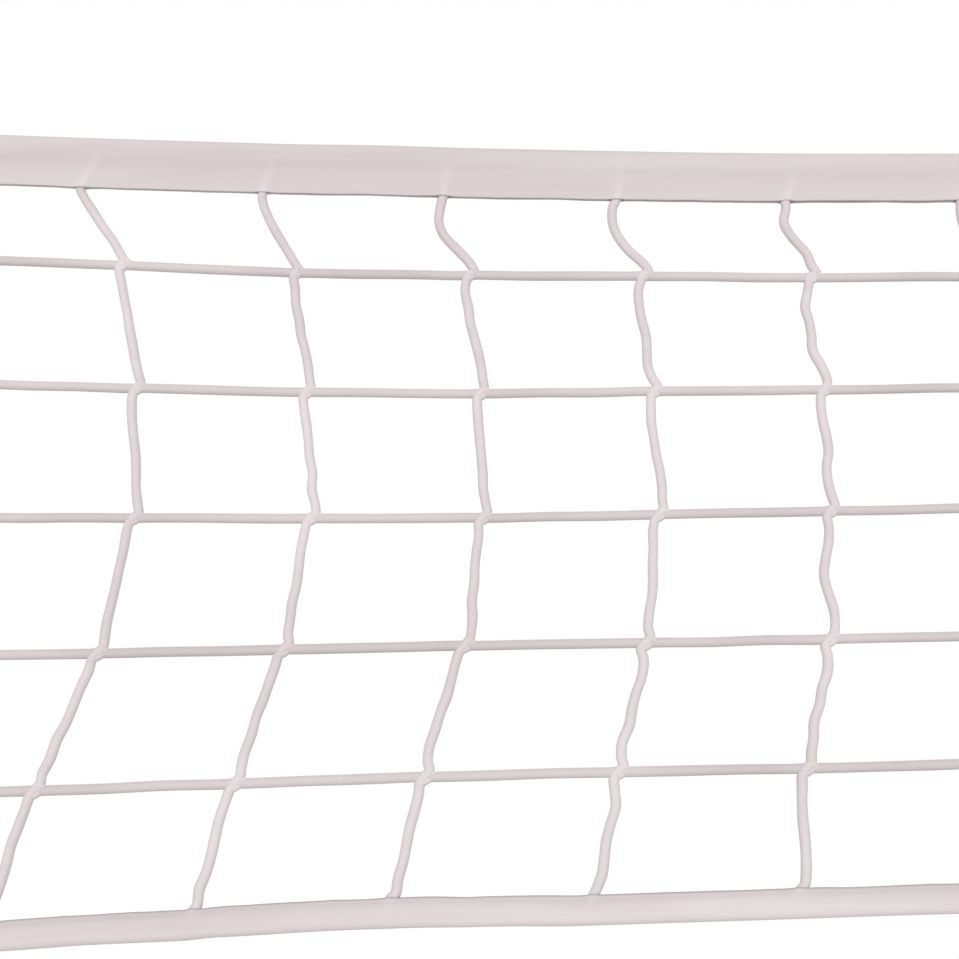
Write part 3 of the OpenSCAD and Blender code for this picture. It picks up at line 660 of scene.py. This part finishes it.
def strandKinks(column, row, dice):
    seen = seenOf(netLook["kinks"][row], column)
    if seen:
        return zip(netLook["shares"], seen)
    if row == 0:  # bent where it leaves the tape
        aside = -dice.uniform(*netLook["looseBend"]) * slack(columnX(column))
        first = aside * dice.uniform(0.9, 1.05)
        return [(0.47, first), (0.62, aside * 0.8), (0.82, aside * 0.4)]
    most = netLook["looseKink"] * slack(columnX(column)) + 0.3
    count = dice.choice((2, 3, 3, 4))
    side = dice.choice((-1, 1))
    kinks = []
    for i in range(count):
        share = (i + 1) / (count + 1) + dice.uniform(-0.05, 0.05)
        kinks.append((share, side * dice.uniform(0.2, 1) * most))
        side = -side if dice.random() < 0.7 else side  # most kinks change sides
    return kinks


def arrivalSpot(column, knot):  # where an upright cord meets the first level one
    further = seenOf(netLook["arrivals"], column)
    if further is None:
        further = netLook["looseArrival"] * slack(columnX(column))
    aside = netLook["knotAside"][1] * mm + further * mm
    return knot + Vector((aside, 0, netLook["arrivalUp"] * netLook["knotUp"]))


def columnPath(column, dice):
    radius = netLook["upright"]
    aside = [side * mm for side in netLook["knotAside"]]
    up, before = netLook["knotUp"], Vector((0, netLook["knotFront"], 0))
    overlap, depth = netLook["tapeOverlap"], netLook["uprightDepth"]
    last = hang["rows"] - 1
    points = []
    for row in range(hang["rows"]):
        low = netPoint(column, row) + Vector((-aside[row], 0, -up))
        knot = netPoint(column, row + 1)
        high = knot + Vector((aside[row + 1], 0, up))
        start, end = 0.0, 1.0
        if row == 0:
            points.append([*netPoint(column, 0), radius])
            mouth = headSpot(headMouths[column], hang["headTape"] - overlap)
            start = (low.z - mouth.z) / (low.z - high.z)
            bend = headSpot((columnX(column) + mouth.x) / 2, netLook["tapeBend"])
            points += [[*bend, radius], [*mouth, radius]]
        else:
            points.append([*low, radius])
        if row == last:
            foot = footSpot(footMouth(column), hang["footTape"] - overlap)
            end = (low.z - foot.z) / (low.z - high.z)
        for share, offset in strandKinks(column, row, dice):
            if not start + 0.05 < share < end - 0.05:
                continue
            spot = low.lerp(high, share)
            spot.x += offset * mm
            if row == 0:
                spot.y = mouth.y + (high.y - mouth.y) * (share - start) / (1 - start)
            if row == last:
                spot.y = low.y + (foot.y - low.y) * share / end
            spot.y += dice.uniform(-depth, depth) * slack(columnX(column))
            points.append([*spot, radius * dice.uniform(*netLook["uprightThickness"])])
        if row == last:
            points += [[*foot, radius], [*knot, radius * 0.9]]
        else:
            arrival = high if row else arrivalSpot(column, knot)
            points += [[*arrival, radius], [*(knot - before), radius * 1.04]]
    return smoothPath(points, 4)


def levelPath(row, dice):
    radius = netLook["level"]
    points = []
    for column in range(hang["columns"] + 1):
        points.append([*netPoint(column, row), radius * 1.02])
        if column == hang["columns"]:
            break
        for share in netLook["levelShares"]:
            spot = netPoint(column + share, row)
            spot.z += dice.uniform(-1, 0.6) * netLook["levelDroop"] * slack(spot.x)
            points.append([*spot, radius * dice.uniform(*netLook["levelThickness"])])
    return smoothPath(points, 3)


knotLumps = [  # centre and half axes in millimetres, and tilt
    ((0, -0.4, -0.1), (4.7, 2.9, 2.95), -0.65),
    ((4.0, -0.1, 1.7), (3.4, 2.55, 1.85), 0.7),
    ((1.1, -0.2, -2.0), (4.3, 2.6, 1.85), -0.6),
]


def makeKnots(dice):
    bm = bmesh.new()
    for column in range(hang["columns"] + 1):
        for row in range(1, hang["rows"]):
            knot = Matrix.Translation(netPoint(column, row))
            grow = dice.uniform(*netLook["knotGrow"])
            for centre, axes, tilt in knotLumps:
                shape = Matrix.Diagonal((*(axis * mm * grow for axis in axes), 1))
                turn = Matrix.Translation(Vector(centre) * mm) @ Matrix.Rotation(tilt, 4, "Y")
                place = knot @ turn @ shape
                bmesh.ops.create_icosphere(bm, subdivisions=2, radius=1, matrix=place)
    return pieceOf(bm, "netKnots", finishes["cord"])


def makeNet():
    dice = random.Random(netLook["seed"])
    uprights = [columnPath(column, dice) for column in range(hang["columns"] + 1)]
    levels = [levelPath(row, dice) for row in range(hang["rows"] + 1)]
    rideNet(tubeMesh("netUprightCords", uprights, 3, finishes["cord"]), "cord")
    # The level cords in the darker copy of the cord, painted shade
    levelCords = tubeMesh("netLevelCords", levels, 3, finishes["shaded_level_cord"])
    rideNet(levelCords, "cord", "net_mesh")
    rideNet(makeKnots(dice), "cord")


makeNet()
print("net made")


headTape = {
    "node": "head_tape",
    "rope": "head_rope",
    "cloth": 0.9 * mm,
    # From the fold: how deep, and how far the layer stands from the middle, in millimetres
    "side": [
        (0, 0), (0.5, 1.6), (1.6, 2.7), (3, 3.3), (4.6, 3.5), (6.4, 3.35), (8.2, 3.25),
        (10, 3.25), (12, 2.7), (14.5, 1.9), (17.5, 1.45), (21, 1.25), (24.5, 1.15),
        (27, 1.2), (28.4, 1.25), (29, 1.15),
    ],
    "line": 10.1,  # depth at which the net's outer cord runs, in millimetres
    "swell": (0.8, 1.1),  # over a cord at that line, and more at the open edge
    "width": 3.3 * mm,  # of that swell
    "paintedShade": (0.34, 0.3),  # painted shade at the fold and at the open edge, less over each cord
    "hem": 0.06,  # painted shade: how much darker the last rows at the open edge are
    "flat": 59.5 * mm,  # width before folding
    "seed": 11,
}
footTape = {
    "node": "foot_tape",
    "rope": "foot_rope",
    "cloth": 0.9 * mm,
    "side": [
        (0, 0), (0.5, 1.5), (1.5, 2.5), (3, 3.1), (4.6, 3.2), (6, 3.1), (7.6, 3.25), (9.2, 3.25),
        (10.8, 2.8), (12, 2), (13, 1.5), (13.8, 1.3), (14.5, 1.15),
    ],
    "line": 8.0,
    "swell": (0.9, 0.8),
    "width": 3.2 * mm,
    # Painted shade at the fold and at the open edge, less over each cord
    "paintedShade": (0.06, 0.26),
    # Painted shade along the open edge: how much darker the last rows are
    "hem": 1.3,
    "flat": 31 * mm,
    "seed": 23,
}
# Distances from a cord at which both tapes have their vertices, in millimetres
gridOffsets = (
    -50, -38, -28, -20, -14, -10, -7.5, -5.5, -4, -2.8, -1.6, -0.5,
    0.5, 1.6, 2.8, 4, 5.5, 7.5, 10, 14, 20, 28, 38,
)
tapeLook = {
    "gap": 0.8 * mm,  # least space between two vertices
    "slantReach": 45 * mm,  # how far a cord's slant carries the cloth beside it
    "swellFrom": 3,  # the swell over a cord starts this far above the line, in millimetres
    "swellRise": 4,  # and is full after this
    "ripple": 0.4,  # sizes of the waves, in millimetres at the open edge
    "billow": 0.6,
    "drift": 0.8,
    "edge": 0.5,
}


def hump(distance, width):
    return math.exp(-((distance / width) ** 2))


def tapeStations(marks):  # places along a tape, closer together over each cord
    stations = [(-tapeOut, 0)]
    for column, (line, mouth) in enumerate(marks):
        for offset in gridOffsets:
            x = line + offset * mm
            if stations[-1][0] + tapeLook["gap"] < x < tapeOut - tapeLook["gap"]:
                stations.append((x, column))
    return stations + [(tapeOut, hang["columns"])]


def limited(value):
    return min(1, max(0, value))


def makeTape(name, spec, spot, inner):
    wobble = waves(spec["seed"], 6, 0.08, 0.45)
    ripple = waves(spec["seed"] + 1, 7, 0.025, 0.11)
    marks = [inner(column) for column in range(hang["columns"] + 1)]
    stations = tapeStations(marks)
    sides = len(spec["side"]) - 1
    height = spec["side"][-1][0]
    bm = bmesh.new()
    bmesh.ops.create_grid(bm, x_segments=len(stations) - 1, y_segments=2 * sides, size=1)
    shade = bm.verts.layers.float.new("shade")
    for vert in bm.verts:
        x, column = stations[round((vert.co.x + 1) / 2 * (len(stations) - 1))]
        step = round((vert.co.y + 1) * sides) - sides
        deep, out = spec["side"][abs(step)]
        line, mouth = marks[column]
        low = deep / height
        past = deep - spec["line"]
        along = limited(past / (height - spec["line"]))
        slant = (mouth - line) * along
        x += slant * max(0, 1 - abs(x - line) / tapeLook["slantReach"])
        raised = hump(x - line - slant, spec["width"])
        raised *= limited((past + tapeLook["swellFrom"]) / tapeLook["swellRise"])
        swell = raised * (spec["swell"][0] + spec["swell"][1] * along ** 2)
        swell += tapeLook["ripple"] * ripple(x) * low
        swell += tapeLook["billow"] * abs(wobble(x * 1.7)) * low
        front = (1 if step > 0 else -1) * (out + swell) + tapeLook["drift"] * wobble(x) * low
        deep += tapeLook["edge"] * ripple(x * 1.3) * low ** 4
        # Painted shade: set at the fold and at the open edge and darker on the last rows; lighter
        # over each cord, a painted highlight
        shadeAtFold, shadeAtEdge = spec["paintedShade"]
        tapeShade = shadeAtFold + (shadeAtEdge - shadeAtFold) * limited(2.4 * low - 0.8 + 0.8 * wobble(x * 2.3))
        hem = spec["hem"] * max(0, abs(step) - sides + 2) / 2
        vert[shade] = tapeShade * (1 - raised * along) + hem
        vert.co = spot(x, deep * mm, front * mm)
    bmesh.ops.recalc_face_normals(bm, faces=bm.faces)
    obj = pieceOf(bm, name, finishes["tape"])
    thicken(obj, spec["cloth"])
    rideNet(obj, "tape", spec["node"])


def headInner(column):
    return columnX(column), headMouths[column]


def footInner(column):
    return netPoint(column, hang["rows"]).x, footMouth(column)


makeTape("headTape", headTape, headSpot, headInner)
makeTape("footTape", footTape, footSpot, footInner)
print("tapes made")


sideTape = {
    "reach": 14 * mm,  # over the squares
    "pocket": 5.6 * mm,  # round the rod
    "lips": 2.6 * mm,  # from the middle to each layer
    "cloth": 1.0 * mm,
    "steps": 90,  # up its height
    "turns": 18,  # round the pocket
    "wrap": 0.85,  # share of the pocket's round that is cloth
    "ripple": 0.4 * mm,
    "seed": 31,
}


def makeSideTape(name, node, rod, side):
    low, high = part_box(node)
    rodLow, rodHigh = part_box(rod)
    rodX = (rodLow.x + rodHigh.x) / 2
    past = abs(rodX) - halfNet
    pocket, lips = sideTape["pocket"], sideTape["lips"]
    neck = math.asin(lips / pocket)
    layer = [(-past - sideTape["reach"] * share, lips) for share in (1, 0.75, 0.5, 0.25)]
    outline = list(layer)
    turns = sideTape["turns"]
    for i in range(turns + 1):
        angle = math.pi - neck - (2 * math.pi - 2 * neck) * i / turns
        outline.append((pocket * math.cos(angle), pocket * math.sin(angle)))
    outline += [(x, -y) for x, y in reversed(layer)]
    count = len(outline) - 1
    wobble = waves(sideTape["seed"] + side, 5, 0.03, 0.2)
    bm = bmesh.new()
    bmesh.ops.create_grid(bm, x_segments=count, y_segments=sideTape["steps"], size=1)
    for vert in bm.verts:
        x, y = outline[round((vert.co.x + 1) / 2 * count)]
        z = low.z + (high.z - low.z) * (vert.co.y + 1) / 2
        y += sideTape["ripple"] * wobble(z) * (1 if x < 0 else 0.3)  # less round the rod
        vert.co = (rodX + side * x, y, z)
    if side < 0:
        bmesh.ops.reverse_faces(bm, faces=bm.faces)
    obj = pieceOf(bm, name, finishes["tape"])
    thicken(obj, sideTape["cloth"])
    rideNet(obj, "tape", node)
    around = 2 * (sideTape["reach"] + past) + 2 * math.pi * pocket * sideTape["wrap"]


makeSideTape("sideTapeLeft", "side_tape_left", "net_rod_left", -1)
makeSideTape("sideTapeRight", "side_tape_right", "net_rod_right", 1)
print("side tapes made")


# Each rope runs this deep in its tape, measured from the fold
ropes = {
    "headRope": {"node": "head_rope", "radius": 3.0 * mm, "spot": headSpot, "deep": 4.4 * mm},
    "footRope": {"node": "foot_rope", "radius": 2.5 * mm, "spot": footSpot, "deep": 3.9 * mm},
}
ropeLook = {
    "loop": 14 * mm,
    "neck": 1.35,  # from the loop's middle to where its sides meet, in its radii
    "tail": 24 * mm,
    "turned": range(50, 311, 26),  # degrees round the eye
    "inTape": range(-2520, 2521, 40),  # places along the tape, in millimetres
    "lay": 19 * mm,  # length of one turn of a strand
    "step": 2.4 * mm,
    "strands": 3,
}


def evenly(path, step):
    even = [path[0]]
    left = step
    for a, b in zip(path, path[1:]):
        length = (b - a).length
        while left < length:
            even.append(a.lerp(b, left / length))
            left += step
        left -= length
    return even


def loopEnd(edge, side, radius):  # the rope turns back on itself round an eye
    loop = ropeLook["loop"]
    aside = radius + 0.2 * mm
    neck = loop * ropeLook["neck"]
    tail = neck + ropeLook["tail"]
    spots = [(tail, aside), (neck, aside)]
    for degrees in ropeLook["turned"]:
        angle = math.radians(degrees)
        spots.append((loop * math.cos(angle), loop * math.sin(angle)))
    spots += [(neck, -aside), (tail, -aside)]
    middle = edge - side * (loop + radius)
    return [(middle - side * x, y) for x, y in spots]


def ropePath(spec):
    low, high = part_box(spec["node"])
    spot, deep = spec["spot"], spec["deep"]
    endZ = spot(halfNet, deep).z
    points = [(x, y, endZ) for x, y in loopEnd(low.x, -1, spec["radius"])]
    points += [tuple(spot(x * mm, deep)) for x in ropeLook["inTape"]]
    points += [(x, y, endZ) for x, y in reversed(loopEnd(high.x, 1, spec["radius"]))]
    return evenly([Vector(point) for point in smoothPath(points, 12)], ropeLook["step"])


def makeRope(name, spec):
    path = ropePath(spec)
    thin = 0.5 * spec["radius"]  # a strand's radius, and how far it lies off the middle
    strands = [[] for _ in range(ropeLook["strands"])]
    for i, point in enumerate(path):
        ahead = (path[min(i + 1, len(path) - 1)] - path[max(i - 1, 0)]).normalized()
        across = ahead.cross(Vector((0, 0, 1))).normalized()
        upward = across.cross(ahead)
        for k, strand in enumerate(strands):
            angle = 2 * math.pi * (i * ropeLook["step"] / ropeLook["lay"] + k / len(strands))
            off = (across * math.cos(angle) + upward * math.sin(angle)) * thin
            strand.append([*(point + off), thin])
    rideNet(tubeMesh(name, strands, 1, finishes["rope"]), "rope", spec["node"])


for ropeName, ropeSpec in ropes.items():
    makeRope(ropeName, ropeSpec)
print("ropes made")


studio = {
    "floorSize": 80.0,
    "floor": (0.74, 0.74, 0.735),
    "ambient": 0.56,
    # Suns: how wide each is in degrees, and where it stands
    "key": {"strength": 1.7, "angle": 35, "turn": (-0.06, -1.0, 0.08)},
    "back": {"strength": 1.1, "angle": 30, "turn": (0.35, 0.8, 0.75)},
}


def makeFloor():
    bm = bmesh.new()
    bmesh.ops.create_grid(bm, x_segments=1, y_segments=1, size=studio["floorSize"] / 2)
    finish = Finish("floor", Roughness=0.9, Base_Color=(*studio["floor"], 1))
    pieceOf(bm, "floor", finish.material)


def makeLamp(name, spec):
    data = bpy.data.lights.new(name, "SUN")
    data.energy = spec["strength"]
    data.angle = math.radians(spec["angle"])
    obj = bpy.data.objects.new(name, data)
    obj.rotation_euler = Vector(spec["turn"]).to_track_quat("Z", "Y").to_euler()
    bpy.context.scene.collection.objects.link(obj)


def makeWorld():  # white to look at, plain light on the object
    world = bpy.data.worlds.new("studio")
    bpy.context.scene.world = world
    world.use_nodes = True
    tree = world.node_tree
    tree.nodes.clear()
    lit = tree.nodes.new("ShaderNodeBackground")
    lit.inputs["Strength"].default_value = studio["ambient"]
    seen = tree.nodes.new("ShaderNodeBackground")
    for node in (lit, seen):
        node.inputs["Color"].default_value = (1, 1, 1, 1)
    ray = tree.nodes.new("ShaderNodeLightPath")
    share = ray.outputs["Is Camera Ray"]
    for kind in ("Is Glossy Ray", "Is Transmission Ray"):
        most = tree.nodes.new("ShaderNodeMath")
        most.operation = "MAXIMUM"
        tree.links.new(share, most.inputs[0])
        tree.links.new(ray.outputs[kind], most.inputs[1])
        share = most.outputs[0]
    mix = tree.nodes.new("ShaderNodeMixShader")
    out = tree.nodes.new("ShaderNodeOutputWorld")
    tree.links.new(share, mix.inputs[0])
    tree.links.new(lit.outputs[0], mix.inputs[1])
    tree.links.new(seen.outputs[0], mix.inputs[2])
    tree.links.new(mix.outputs[0], out.inputs["Surface"])


makeFloor()
for lamp in ("key", "back"):
    makeLamp(lamp, studio[lamp])
makeWorld()
bpy.context.scene.view_settings.view_transform = "Standard"
print("studio made")
